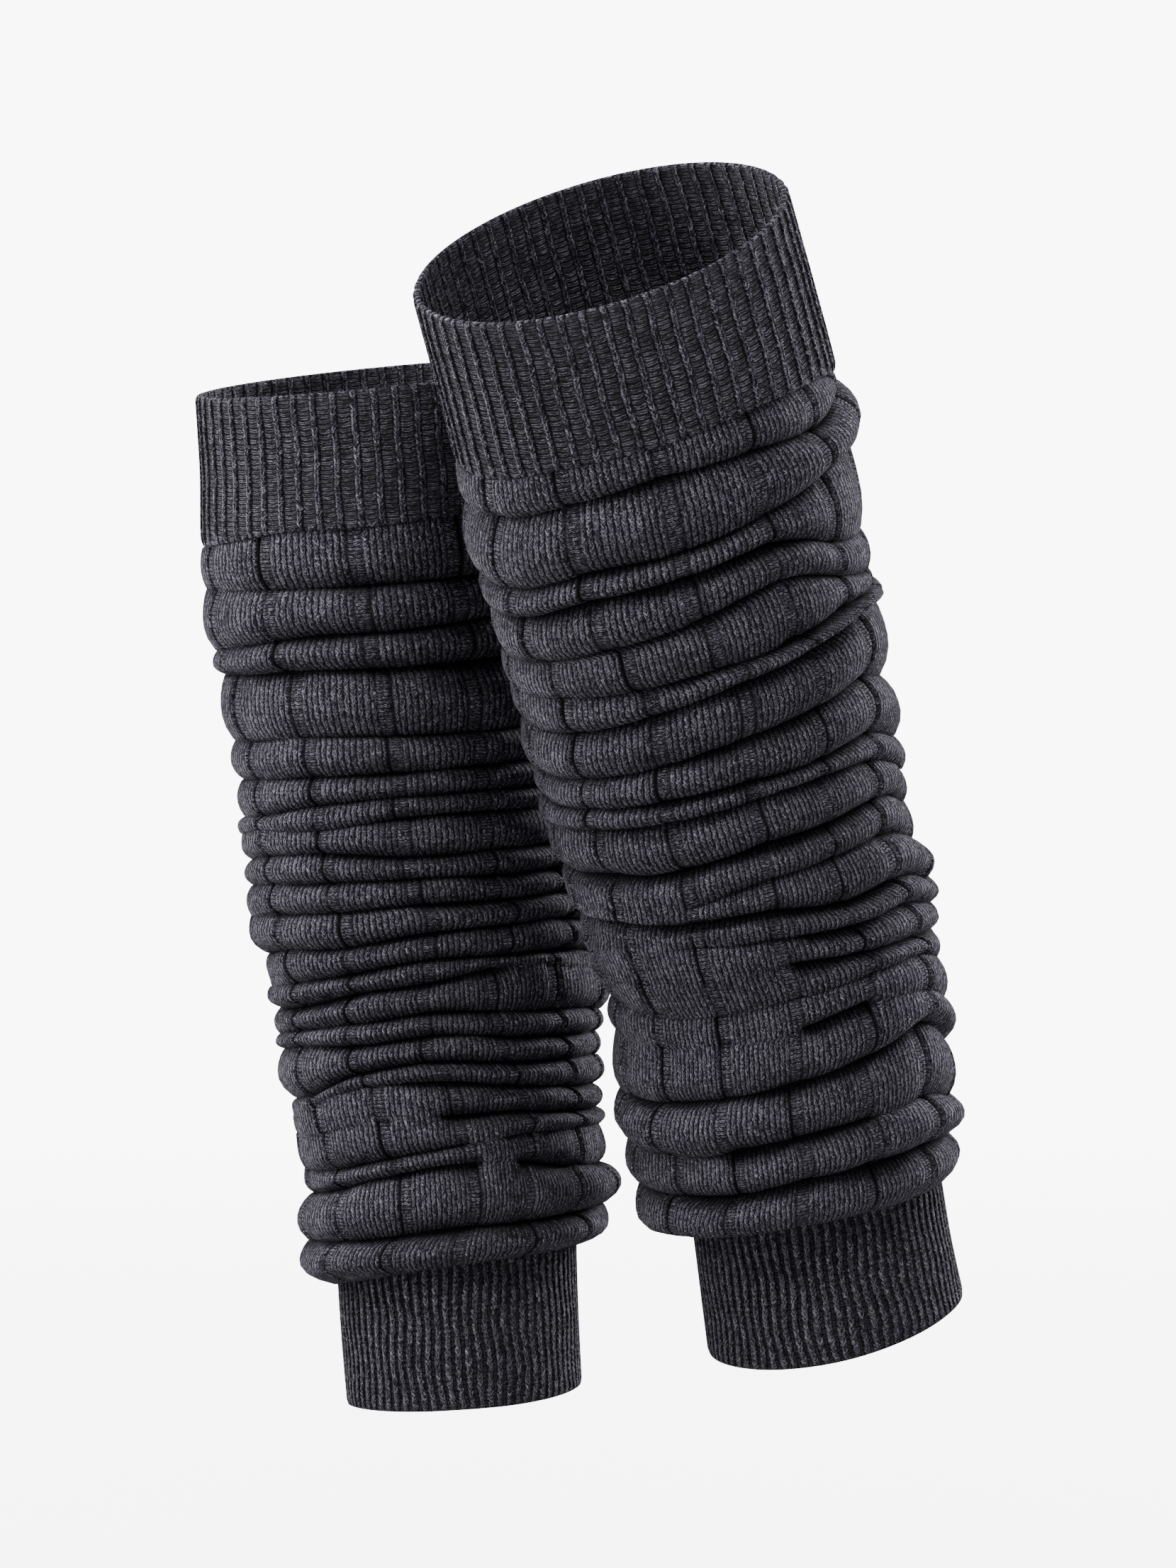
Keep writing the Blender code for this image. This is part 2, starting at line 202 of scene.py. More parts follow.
def smooth_through(knots, place, closed=False):
    """A smooth curve through evenly spaced values, read at places counted in knots."""
    knots = np.asarray(knots, float)
    whole = np.floor(place).astype(int)
    if not closed:
        whole = np.clip(whole, 0, len(knots) - 2)
    part = place - whole
    near = whole[..., None] + np.arange(-1, 3)
    near = near % len(knots) if closed else np.clip(near, 0, len(knots) - 1)
    before, start, end, after = np.moveaxis(knots[near], -1, 0)
    bend = 2 * before - 5 * start + 4 * end - after
    twist = 3 * (start - end) + after - before
    return start + 0.5 * part * (end - before + part * (bend + part * twist))


def around(knots, angle):
    return smooth_through(knots, np.mod(angle, math.tau) * len(knots) / math.tau, closed=True)


def crease_round(crease, number):
    """A crease's twelve knots round the leg: at the back, slouched cloth hangs lower."""
    sides = (crease.left + crease.right) / 2
    sway = BACK_SWAY * math.sin(SWAY_STEP * number)
    back = sides + BACK_HANG * (sides - crease.front) + sway
    right_back = [crease.right + (back - crease.right) * share for share in (1 / 3, 2 / 3)]
    left_back = [crease.left + (back - crease.left) * share for share in (2 / 3, 1 / 3)]
    return [crease.front, crease.right_30, crease.right_60, crease.right, *right_back, back,
            *left_back, crease.left, crease.left_60, crease.left_30]


def lengths_down(rings):
    steps = np.linalg.norm(np.diff(rings[:, :3], axis=0), axis=1)
    return np.append(0.0, np.cumsum(steps))


def on_tube(rings, down, angle, out):
    """Points of a tube, in metres: so far down it, at an angle from its front, moved out."""
    down, angle, out = np.broadcast_arrays(down, angle, out)
    lengths = lengths_down(rings)
    number = np.searchsorted(lengths[1:-1], down)
    place = number + (down - lengths[number]) / (lengths[number + 1] - lengths[number])
    across, back, up, half_width, roll, pitch = (smooth_through(knots, place) for knots in rings.T)
    roll, pitch = np.radians(roll), np.radians(pitch)
    right = np.stack([np.cos(roll), np.zeros_like(roll), np.sin(roll)], -1)
    rear = np.stack([-np.sin(roll) * np.sin(pitch), np.cos(pitch), np.cos(roll) * np.sin(pitch)], -1)
    arm = right * np.sin(angle)[..., None] - rear * np.cos(angle)[..., None]
    return (np.stack([across, back, up], -1) + arm * (half_width + out)[..., None]) * MM


def knit_tube(name, points, wale, wales_round, courses, marks, wool, node):
    """A hollow cloth tube: rows of points run down its outside and back up its inside."""
    rows, columns = points.shape[:2]
    row, column = np.indices((rows, columns))
    next_row, next_column = (row + 1) % rows, (column + 1) % columns
    corners = ((row, column), (next_row, column), (next_row, next_column), (row, next_column))
    quads = np.stack([at_row * columns + at_column for at_row, at_column in corners], -1)
    mesh = bpy.data.meshes.new(name)
    mesh.from_pydata(points.reshape(-1, 3).tolist(), [], quads.reshape(-1, 4).tolist())
    mesh.shade_smooth()

    def lay_out(label, across, along):
        """Lays the cloth flat: every row and column, and the first ones again at the far edges."""
        flat_corners = ((row, column), (row + 1, column), (row + 1, column + 1), (row, column + 1))
        flat = [np.stack([across[corner], along[corner]], -1) for corner in flat_corners]
        mesh.uv_layers.new(name=label).data.foreach_set("uv", np.stack(flat, -2).reshape(-1))

    courses = np.pad(courses, ((0, 1), (0, 1)), mode="wrap")
    wales = np.append(wale, wale[0] + wales_round)
    lay_out("Knit", np.broadcast_to(wales, courses.shape), courses)
    widths = np.linalg.norm(np.diff(points, axis=1, append=points[:, :1]), axis=-1).mean(0)
    heights = np.linalg.norm(np.diff(points, axis=0, append=points[:1]), axis=-1).mean(1)
    places = [np.append(0, np.cumsum(sizes)) / sizes.sum() for sizes in (widths, heights)]
    lay_out("OFBake", *np.meshgrid(*places))
    for label, values in marks.items():
        layer = mesh.attributes.new(label, "FLOAT", "POINT")
        layer.data.foreach_set("value", np.broadcast_to(values, (rows, columns)).ravel())
    mesh.materials.append(wool)
    piece = bpy.data.objects.new(name, mesh)
    bpy.context.collection.objects.link(piece)
    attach(piece, "root")
    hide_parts(node)
    return piece


def new_group(name, inputs, outputs):
    """An empty shader node group with named sockets, and what comes in by them."""
    group = bpy.data.node_groups.new(name, "ShaderNodeTree")
    for label, kind in inputs:
        group.interface.new_socket(label, in_out="INPUT", socket_type="NodeSocket" + kind)
    for label, kind in outputs:
        group.interface.new_socket(label, in_out="OUTPUT", socket_type="NodeSocket" + kind)
    return group, put(group, "NodeGroupInput").outputs


def noise(tree, place, scale, detail, roughness=0.5, dimensions="3D"):
    return put(tree, "ShaderNodeTexNoise", place, None, scale, detail, roughness,
               noise_dimensions=dimensions)


def blend(tree, share, first, second):
    return put(tree, "ShaderNodeMixRGB", share, first, second).outputs[0]


# Plain knit and ladder rungs, from a place counted in wales and courses. A plain stitch is
# two leaning legs that meet in a V; a rung is a pair of thin strands with a hole below it.
# LEG_LEAN is how many courses a leg climbs in a wale, and RUNG_STRANDS are parts of a course.
LEG_LEAN = 3.1
LEG_FULLNESS = 2.2
RUNG_BOW = 1.1
RUNG_STRANDS = (0.27, 0.67)

loops, given = new_group(
    "knit loops",
    (("Wale", "Float"), ("Course", "Float"), ("Ladder", "Float")),
    (("Height", "Float"), ("Yarn", "Float"), ("Across", "Float"), ("Leg", "Float")),
)
share = reckon(loops, "FRACT", given["Wale"])
off_middle = reckon(loops, "ABSOLUTE", reckon(loops, "SUBTRACT", share, 0.5))
leaning = reckon(loops, "MULTIPLY_ADD", off_middle, LEG_LEAN, given["Course"])
leg_side = reckon(loops, "MULTIPLY_ADD", reckon(loops, "FRACT", leaning), 2.0, -1.0)
leg_fall = reckon(loops, "POWER", reckon(loops, "ABSOLUTE", leg_side), LEG_FULLNESS)
leg_round = reckon(loops, "SUBTRACT", 1.0, leg_fall)
middle_dip = ranged(loops, off_middle, low=0.0, high=0.08, out_low=0.6)
edge_fall = ranged(loops, off_middle, low=0.46, high=0.27)
plain = reckon(loops, "MULTIPLY", reckon(loops, "MULTIPLY", leg_round, middle_dip), edge_fall)
bow = reckon(loops, "MULTIPLY", off_middle, off_middle)
bow = reckon(loops, "MULTIPLY_ADD", bow, RUNG_BOW, given["Course"])
rung = reckon(loops, "FRACT", bow)
off_strands = [reckon(loops, "ABSOLUTE", reckon(loops, "SUBTRACT", rung, strand))
               for strand in RUNG_STRANDS]
nearest = reckon(loops, "MINIMUM", *off_strands)
rungs = ranged(loops, nearest, low=0.19, high=0.06, out_high=0.8)
height = put(loops, "ShaderNodeMix", given["Ladder"], None, plain, rungs).outputs[0]
yarn = ranged(loops, height, low=0.15, high=0.75)
along = put(loops, "ShaderNodeMix", given["Ladder"], None, leaning, bow).outputs[0]
put(loops, "NodeGroupOutput", height, yarn, off_middle, along)

# Melange wool: light and dark fibres spun together, so the colour changes along each strand,
# from stitch to stitch, and in streaks a few stitches long. A tone under 0.15 is dark wool, at
# 0.55 it is middling, and at 1 it is light.
FIBRES_ACROSS = 1.4
FIBRES_ALONG = 3.0
STREAKS_ACROSS = 0.16
STREAKS_ALONG = 0.8
FIBRE_CONTRAST = 6.4
FIBRE_START = -3.05

melange, given = new_group(
    "melange wool",
    (("Wale", "Float"), ("Course", "Float"), ("Across", "Float"), ("Leg", "Float"),
     ("Place", "Vector"), ("Dark", "Color"), ("Middle", "Color"), ("Light", "Color")),
    (("Color", "Color"), ("Fibre", "Float")),
)
fibre_place = put(melange, "ShaderNodeCombineXYZ",
                  reckon(melange, "MULTIPLY", given["Across"], FIBRES_ACROSS),
                  reckon(melange, "MULTIPLY", given["Leg"], FIBRES_ALONG), given["Wale"])
fibre = noise(melange, fibre_place.outputs[0], scale=2.4, detail=3.0, roughness=0.8)
half_wale = reckon(melange, "FLOOR", reckon(melange, "MULTIPLY", given["Wale"], 2.0))
left_leg = reckon(melange, "PINGPONG", half_wale, 1.0)
stitch_place = put(melange, "ShaderNodeCombineXYZ", half_wale, reckon(melange, "FLOOR", given["Leg"]))
stitch = put(melange, "ShaderNodeTexWhiteNoise", stitch_place.outputs[0], noise_dimensions="2D")
streak_place = put(melange, "ShaderNodeCombineXYZ",
                   reckon(melange, "MULTIPLY", given["Wale"], STREAKS_ACROSS),
                   reckon(melange, "MULTIPLY", given["Course"], STREAKS_ALONG))
streak = noise(melange, streak_place.outputs[0], scale=1.0, detail=2.0, dimensions="2D")
blotch = noise(melange, given["Place"], scale=60.0, detail=2.0)
tone = reckon(melange, "MULTIPLY_ADD", fibre.outputs[0], FIBRE_CONTRAST, FIBRE_START)
tone_shares = (
    (stitch.outputs["Value"], 0.40),
    (left_leg, -0.20),
    (streak.outputs[0], 0.25),
    (blotch.outputs[0], 0.15),
)
for spread, weight in tone_shares:
    tone = reckon(melange, "MULTIPLY_ADD", spread, weight, tone)
darker = blend(melange, ranged(melange, tone, low=0.15, high=0.55), given["Dark"], given["Middle"])
mixed = blend(melange, ranged(melange, tone, low=0.55, high=1.0), darker, given["Light"])
put(melange, "NodeGroupOutput", mixed, tone)

# The colours of hollows, rungs and hems, and how much of the wool's own colour stays in a
# dark line and a ladder's gap. A hollow's colour is painted shade, near black, for the gaps
# between strands and the dark lines. Rungs lie stiller than stitches, and fibres stand up a little.
HOLLOW_SHADE = (0.0012, 0.0007, 0.0035, 1)
LINE_SHADE = 0.03
RUNG_COLOUR = (0.124, 0.118, 0.118, 1)
RUNG_STEADINESS = 0.5
LADDER_GAP_LIGHT = 0.17
HEM_COLOUR = (0.072, 0.056, 0.066, 1)
HEM_STRENGTH = 0.7
FIBRE_RELIEF = 0.35


def wool(name, dark, middle, light, relief, rung_calm):
    """A knitted wool, with its own colours of fibre and height of stitch in metres."""
    material = bpy.data.materials.new(name)
    material.use_nodes = True
    tree = material.node_tree
    shader = tree.nodes["Principled BSDF"]
    ladder, line, hem = (put(tree, "ShaderNodeAttribute", attribute_name=label).outputs["Fac"]
                         for label in ("ladder", "painted shade", "hem"))
    place = put(tree, "ShaderNodeTexCoord").outputs["Object"]
    counted = put(tree, "ShaderNodeSeparateXYZ", put(tree, "ShaderNodeUVMap", uv_map="Knit").outputs[0])
    wander = noise(tree, place, scale=460.0, detail=3.0, roughness=0.8)
    shift = put(tree, "ShaderNodeSeparateXYZ", wander.outputs["Color"])
    across, along = (reckon(tree, "SUBTRACT", shift.outputs[axis], 0.5) for axis in (0, 1))
    wale = reckon(tree, "ADD", counted.outputs[0], across)
    steady = reckon(tree, "MULTIPLY_ADD", ladder, -RUNG_STEADINESS, 1.0)
    course = reckon(tree, "MULTIPLY_ADD", along, steady, counted.outputs[1])
    knit = put(tree, "ShaderNodeGroup", wale, course, ladder, node_tree=loops).outputs
    fibres = put(tree, "ShaderNodeGroup", wale, course, knit["Across"], knit["Leg"], place,
                 dark, middle, light, node_tree=melange).outputs
    # Painted shade: the gaps between strands, a ladder's gaps and the dark lines of grooves and creases
    # are darkened towards HOLLOW_SHADE.
    gap_light = reckon(tree, "MULTIPLY", ladder, LADDER_GAP_LIGHT * rung_calm)
    painted_gap_shade = ranged(tree, knit["Yarn"], low=0.0, high=1.0, out_low=gap_light)
    painted_line_shade = ranged(tree, line, low=0.1, high=0.8, out_low=1.0, out_high=LINE_SHADE)
    colour = blend(tree, reckon(tree, "MULTIPLY", ladder, rung_calm), fibres["Color"], RUNG_COLOUR)
    colour = blend(tree, reckon(tree, "MULTIPLY", hem, HEM_STRENGTH), colour, HEM_COLOUR)
    colour = blend(tree, reckon(tree, "MULTIPLY", painted_gap_shade, painted_line_shade), HOLLOW_SHADE, colour)
    tree.links.new(colour, shader.inputs["Base Color"])
    bump = put(tree, "ShaderNodeBump")
    bump.inputs["Strength"].default_value = 1.0
    bump.inputs["Distance"].default_value = relief
    height = reckon(tree, "MULTIPLY_ADD", fibres["Fibre"], FIBRE_RELIEF, knit["Height"])
    tree.links.new(height, bump.inputs["Height"])
    tree.links.new(bump.outputs[0], shader.inputs["Normal"])
    shader.inputs["Roughness"].default_value = 0.95
    shader.inputs["Specular IOR Level"].default_value = 0.05
    shader.inputs["Sheen Weight"].default_value = 0.03
    shader.inputs["Sheen Roughness"].default_value = 0.5
    return material


# A cuff's knit: its rib and how many there are, how far its ribs wander in radians, how high
# its hem is and how tall a course, in mm, how many rows of points, its wool and its slot.
CuffKnit = namedtuple("CuffKnit", "rib count wander hem course rows wool slot")

# The waves in which ribs wander: how fast down the cuff, in radians for each mm, and how
# often in one round.
RIB_WAVES = ((0.19, 3), (0.31, -5))

# Towards a rim, in mm: where the painted shade of the dark lines fades, where the ladder
# starts and how soon it is full, and where the ribs flatten, down to a least share of their
# rise. Then the hem's own rise, in mm, and the inner face's share of the ribs' rise.
EDGE_BAND = 3.0
BOUND_OFF = 0.5
EDGE_FADE = 0.8
FLAT_BAND = 2.5
LEAST_RISE = 0.25
HEM_RISE = 0.35
INSIDE_RISE = 0.5

# The rounding of a rim, from its outer side to its inner one: how far in from the cuff's end
# and how far out of the cuff's face each row lies, in mm.
RIM_ROUNDING = ((0.22, -0.18), (0.0, -0.75), (0.22, -1.3))


def rib_columns(rib, count):
    """Angle, rise, ladder, painted shade line and wale of every column round a ribbed cuff."""
    across, rise, ladder, line, wale = rib.T
    number = np.arange(count)[:, None]
    turn = (number + across) * math.tau / count
    rise, ladder, line = (np.tile(values, count) for values in (rise, ladder, line))
    return turn.ravel(), rise, ladder, line, (2 * number + wale).ravel()


def cuff(name, rings, knit, end_knots, node):
    """A ribbed cuff with a rolled rim at both ends, ribbed alike inside and out."""
    angle, rise, ladder, line, wale = rib_columns(knit.rib, knit.count)
    length = around(end_knots, angle)
    rim = np.zeros_like(angle)

    def face(down, out):
        """Points of the cuff's wall, whose ribs stray a little sideways as they run down."""
        wander = sum(np.sin(step * down + times * angle) for step, times in RIB_WAVES)
        return on_tube(rings, down, angle + knit.wander * wander, out)

    def rim_to_rim(start, end, rows):
        return CLOTH / 2 + np.linspace(start, end, rows)[:, None] * (length - CLOTH)

    def hem_share(down):
        return np.clip((down - length + knit.hem) / EDGE_FADE, 0, 1) if knit.hem else 0 * down

    outer_down = rim_to_rim(0, 1, knit.rows)
    full_rise = np.clip(np.minimum(outer_down, length - outer_down) / FLAT_BAND, LEAST_RISE, 1.0)
    hem = hem_share(outer_down)
    outer = face(outer_down, rise * full_rise * (1 - hem) + HEM_RISE * hem)
    inner_down = rim_to_rim(1, 0, knit.rows * 2 // 3)
    inner = face(inner_down, -CLOTH - INSIDE_RISE * rise)
    top = [face(rim + inward, out) for inward, out in RIM_ROUNDING]
    end = [face(length - inward, out) for inward, out in RIM_ROUNDING]
    points = np.stack([top[1], top[0], *outer, *end, *inner, top[2]])
    down = np.stack([rim, rim, *outer_down, length, length, length, *inner_down, rim])
    from_edge = np.minimum(down, length - down)
    off_rims = np.clip((from_edge - BOUND_OFF) / EDGE_FADE, 0, 1)
    marks = {
        "ladder": ladder * off_rims * (1 - hem_share(down)),
        # The ribs' dark lines are painted shade in their grooves, fading towards the rims.
        "painted shade": line * np.clip(from_edge / EDGE_BAND, 0, 1),
        "hem": hem_share(down),
    }
    return knit_tube(name, points, wale, 2 * knit.count, down / knit.course, marks,
                     knit.wool, node)


upper_wool = wool("charcoal ladder rib wool", dark=(0.006, 0.004, 0.010, 1),
                  middle=(0.094, 0.085, 0.130, 1), light=(0.88, 0.84, 0.98, 1),
                  relief=0.0011, rung_calm=0.45)
upper_knit = CuffKnit(UPPER_RIB, count=56, wander=0.0025, hem=0, course=1.5, rows=36,
                      wool=upper_wool, slot="upper_cuff_wool")
front_seam = np.array(crease_round(FRONT_UPPER_SEAM, 0))
front_upper = cuff("front_upper_cuff_knit", FRONT_RINGS, upper_knit, front_seam - SEAM_GAP / 2,
                   "front_upper_cuff")

# Front leg warmer: leg
# The slouched leg: thirteen panels of plain knit, parted by sunken two-stitch purl columns,
# that has slipped down the leg into about twenty soft rolls, each drooping over the next.

PANELS = 13
PANEL_WALES = 14
LEG_COURSE = 1.4
PANEL_RADIUS = 58.0
PANEL_WIDTH = math.tau * PANEL_RADIUS / PANELS
PURL_HALF_WIDTH = 2.2

# One column of a panel, from the middle of a purl column out: how far across it lies and
# how far it sinks, in mm, whether it is purl (1) or plain (0), and its share of groove.
PanelPoint = namedtuple("PanelPoint", "across sink purl groove")
HALF_PANEL = np.array((
    PanelPoint(0.0, 0.38, 0.9, 0.0),
    PanelPoint(1.1, 0.38, 0.9, 0.0),
    PanelPoint(1.8, 0.38, 0.8, 0.6),
    PanelPoint(2.3, 0.36, 0.4, 1.0),
    PanelPoint(2.8, 0.20, 0.0, 0.9),
    PanelPoint(3.4, 0.02, 0.0, 0.1),
    PanelPoint(5.2, -0.06, 0.0, 0.0),
    PanelPoint(7.6, -0.13, 0.0, 0.0),
    PanelPoint(10.6, -0.18, 0.0, 0.0),
    PanelPoint(14.0, -0.20, 0.0, 0.0),
))

# One roll of slouched cloth, which ends at the crease below it: where that crease lies; how
# deep it cuts in, at five places 45 degrees apart from the left side to the right; how far
# the roll swells past the leg on each side; and how far, in degrees, its purl columns have
# slid round at the left, the front and the right. The last roll ends at the lower cuff.
Roll = namedtuple("Roll", "crease depth swell slide")
FRONT_SEAM_DEPTH = (0.5, 0.2, 0.3, 3.0, 2.5)
FRONT_ROLLS = (
    Roll(Crease(67, 66, 61, 58.5, 61, 66.5, 64.5), (2, 4.5, 5.5, 4.5, 5), (1, 0), (-8, -1.5, -3)),
    Roll(Crease(91, 90, 84, 83, 81.5, 81, 83), (3.5, 5, 6.5, 4, 2), (2, 4.5), (-8, -1.5, -3)),
    Roll(Crease(102, 100, 94, 92.5, 93, 106, 113), (3.5, 6, 8.5, 6, 3), (0, -1), (-6, -1.5, -3)),
    Roll(Crease(117, 115, 111, 107.5, 105, 118, 128), (2, 4, 5.5, 6, 2.5), (-1, -1), (-4, -1, -4)),
    Roll(Crease(129, 128, 127, 126, 127, 128, 132), (1, 2.5, 5, 6, 3), (0, -1.5), (5, 3, -3)),
    Roll(Crease(141, 141, 138, 134.5, 133, 132, 138), (3.5, 4.5, 6.5, 7, 2), (0, 1.5), (6, 9, 1)),
    Roll(Crease(159, 157, 155, 152.5, 152, 152, 163), (3.5, 4.5, 6.5, 6.5, 2), (0, 2), (6, 9, 3)),
    Roll(Crease(169, 168, 167, 166.5, 169, 171, 183), (2.5, 4, 6, 5.5, 2), (-1, 3), (6, 8, 2)),
    Roll(Crease(178, 175, 174, 173.5, 174, 180, 195), (2.5, 4, 5.5, 5, 1.5), (0, 1), (5.5, 7.5, 1)),
    Roll(Crease(194, 192, 192, 190, 191, 193, 205), (4, 7, 8.5, 8, 2.5), (0, -0.5), (6, 6.5, -2)),
    Roll(Crease(203, 203, 205, 201, 202, 205, 218), (0, 0, 3.5, 5, 3.5), (0, -1), (6, 5, -5)),
    Roll(Crease(211, 208, 209, 211, 217, 219, 230), (4, 6, 8, 6, 1), (0, 3.5), (6, 4, -6)),
    Roll(Crease(220, 219, 218, 220.5, 225, 228, 238), (0, 0, 3, 5, 1), (-2, 3.5), (7, 4, -2)),
    Roll(Crease(232, 231, 231, 230, 234.5, 240, 246), (0, 0, 2, 5, 2), (-1, 2), (8, 4, 3)),
    Roll(Crease(244, 243, 244, 243, 243, 246, 256), (2, 1.2, 1.5, 2, 1), (0, 1), (8, 4, 8)),
    Roll(Crease(255, 254, 254, 254, 252, 258, 271), (0.6, 0, 0, 0, 0.5), (1.5, 2.5), (6, 3, 3)),
    Roll(Crease(276, 274, 272, 271, 270, 268, 284), (2, 6, 7.5, 7, 1.5), (1, 3.5), (8, 1, 3)),
    Roll(Crease(291, 290, 290, 288.5, 289, 292, 303), (3, 3, 7, 5, 2), (2, 1.5), (1, 0, -4)),
    Roll(Crease(307, 305, 305, 303.5, 305, 308, 314), (5, 6, 8, 7, 2.5), (0, 5), (9, 2, -1)),
    Roll(None, None, (0, 5), (0, -1, -4)),
)

# A stretch of a crease, from and to in degrees from the front, with a depth of its own.
Stretch = namedtuple("Stretch", "crease start end depth")
FRONT_STRETCHES = (
    Stretch(1, 26, 48, 6.5),
    Stretch(5, 24, 66, 8.0),
    Stretch(11, -90, -22, 0.0),
    Stretch(12, -36, 31, 8.5),
    Stretch(13, -90, -34, 0.0),
    Stretch(13, 12, 34, 6.0),
    Stretch(14, -90, 5, 0.0),
    Stretch(14, 7, 37, 7.0),
    Stretch(16, 4, 33, 7.5),
    Stretch(18, -27, 28, 8.0),
    Stretch(18, 30, 52, 2.0),
)

# One row of a roll: its share of the height; how many slot widths it lies below the upper
# crease and above the lower; how much of each crease's depth reaches it; how far it droops
# for each mm of the lower crease's depth; and its share of the pinch at a purl column.
RollRow = namedtuple("RollRow", "share below above upper lower droop pinch")
ROLL_ROWS = (
    RollRow(0.00, 0.00, 0.00, 1.00, 0.00, 0.00, 0.0),
    RollRow(0.00, 0.40, 0.00, 0.88, 0.00, 0.00, 0.3),
    RollRow(0.00, 0.70, 0.00, 0.66, 0.00, 0.00, 0.7),
    RollRow(0.00, 1.00, 0.00, 0.42, 0.00, 0.00, 1.0),
    RollRow(0.00, 1.40, 0.00, 0.22, 0.00, 0.00, 0.9),
    RollRow(0.10, 1.425, 0.00, 0.10, 0.00, 0.00, 0.6),
    RollRow(0.28, 0.688, 0.00, 0.03, 0.00, 0.00, 0.2),
    RollRow(0.46, 0.00, 0.00, 0.00, 0.00, 0.00, 0.0),
    RollRow(0.62, 0.00, 0.00, 0.00, 0.00, 0.00, 0.0),
    RollRow(0.80, 0.00, 0.20, 0.00, 0.02, 0.01, 0.1),
    RollRow(1.00, 0.00, 1.10, 0.00, 0.07, 0.03, 0.4),
    RollRow(1.00, 0.00, 0.75, 0.00, 0.16, 0.10, 0.8),
    RollRow(1.00, 0.00, 0.50, 0.00, 0.30, 0.16, 1.0),
    RollRow(1.00, 0.00, 0.32, 0.00, 0.50, 0.15, 0.8),
    RollRow(1.00, 0.00, 0.18, 0.00, 0.72, 0.09, 0.4),
    RollRow(1.00, 0.00, 0.07, 0.00, 0.90, 0.03, 0.1),
)
CREASE_ROW = ROLL_ROWS[0]
BELLY_ROW = ROLL_ROWS[7]
LEAST_ROLL = 3.5
SWELL_LOST = 0.85
LEAST_BACK_DEPTH = 5.5
STRETCH_END = 5

# The slot between two rolls, in mm: wider in a deep crease, and at most a share of the roll.
LEAST_SLOT = 0.35
SLOT_FOR_DEPTH = 0.038
MOST_SLOT = 0.24

# A roll's round section: where its belly lies, as a share of its height, and how much of a
# crease's depth it takes up by itself, which is all of a shallow one's and less of a deep one's.
BELLY = 0.56
CURVE = 0.62
MOST_CURVE = 0.42
SHALLOW = 3.0
DEEP = 5.5
CIRCLE_SHARE = 0.3

# The grooves beside a purl column, in mm, and how strongly the cloth is pulled into them: more
# at the leg's sides than in front, and mostly on a column's outward side.
GROOVE_LEAST = 0.1
GROOVE_DEPTH = 1.1
GROOVE_MEAN = 0.85
SIDE_CHANGE = 2.0
FRONT_PULL = 0.65
SIDE_PULL = 0.45

# How far a roll's upper and lower rows are pinched at a purl column, in mm. The pinch fades
# out as the panel beside it rises from PURL_SINK to FLAT_SINK.
PINCH = 0.35
FLAT_SINK = -0.12
PURL_SINK = 0.38

# Between which depths, in mm, the wool of a crease gets out of sight, and how much shade is painted on it
# then.
OPEN_DEPTH = 1.0
BURIED_DEPTH = 5.5
CREASE_PAINTED_SHADE = 0.85

# A slow wave of the cloth round the leg: its height, how often it comes in one round, and how
# far it moves on from each roll to the next, in radians.
Wave = namedtuple("Wave", "height times step")
DEPTH_WAVES = (Wave(0.14, 5, 1.9), Wave(0.10, 11, 3.1))
SURFACE_WAVES = (Wave(0.22, 3, 2.1), Wave(0.15, 7, 1.3))
GROOVE_SIDE_WAVES = (Wave(0.7, 6, 2.9),)
GROOVE_WAVES = (Wave(0.4, 5, 2.3),)

# The leg's two ends, in mm down and out: its first edge and the inside of it, on its own
# tube; and on the lower cuff's tube, the last roll's lip, its turn and its tucked-in edge.
# Behind a crease, the inside keeps a little more room.
FIRST_EDGE = (-0.8, -CLOTH / 2)
FIRST_INSIDE = (-1.5, -CLOTH - 1.9)
LAST_LIP = (0.0, 0.7)
LAST_TURN = (-0.4, 0.4)
TUCKED_IN = (2.0, -CLOTH - 1.0)
CREASE_ROOM = 0.8


def panel_columns():
    """Angle, sink, purl, groove, side and wale of every column round the panelled leg."""
    before_next = HALF_PANEL[-2:0:-1] * (-1, 1, 1, 1)
    across, sink, purl, groove = np.concatenate([HALF_PANEL, before_next]).T
    panel = np.arange(PANELS)[:, None] + (np.arange(len(across)) >= len(HALF_PANEL))
    turn = (panel * PANEL_WIDTH + across) / PANEL_RADIUS
    plain_wale = (PANEL_WIDTH - 2 * PURL_HALF_WIDTH) / (PANEL_WALES - 2)
    in_purl = np.clip(across / PURL_HALF_WIDTH, -1, 1)
    wale = panel * PANEL_WALES + in_purl + (across - in_purl * PURL_HALF_WIDTH) / plain_wale
    repeated = (np.tile(values, PANELS) for values in (sink, purl, groove, np.sign(across)))
    return turn.ravel(), *repeated, wale.ravel()


def waves(kinds, angle, number):
    return sum(wave.height * np.sin(wave.times * angle + wave.step * number) for wave in kinds)


def roundness(share):
    """How far a round roll falls back: 1 at its edge (share 0), 0 from its belly on."""
    off = 1 - np.clip(share, 0, 1)
    return (1 - CIRCLE_SHARE) * off**2 + CIRCLE_SHARE * (1 - np.sqrt(1 - off**2))


def soft_part(depth, height):
    """How much of a crease's depth is a soft trough: all of a shallow one's, less of a deep one's."""
    shallowness = np.clip((DEEP - depth) / (DEEP - SHALLOW), 0, 1)
    return np.minimum(depth * (CURVE + (1 - CURVE) * shallowness), MOST_CURVE * height)


def slot_width(depth, height):
    """How wide the slot stands open in a crease between rolls this high."""
    return np.minimum(LEAST_SLOT + SLOT_FOR_DEPTH * depth**2, MOST_SLOT * height)


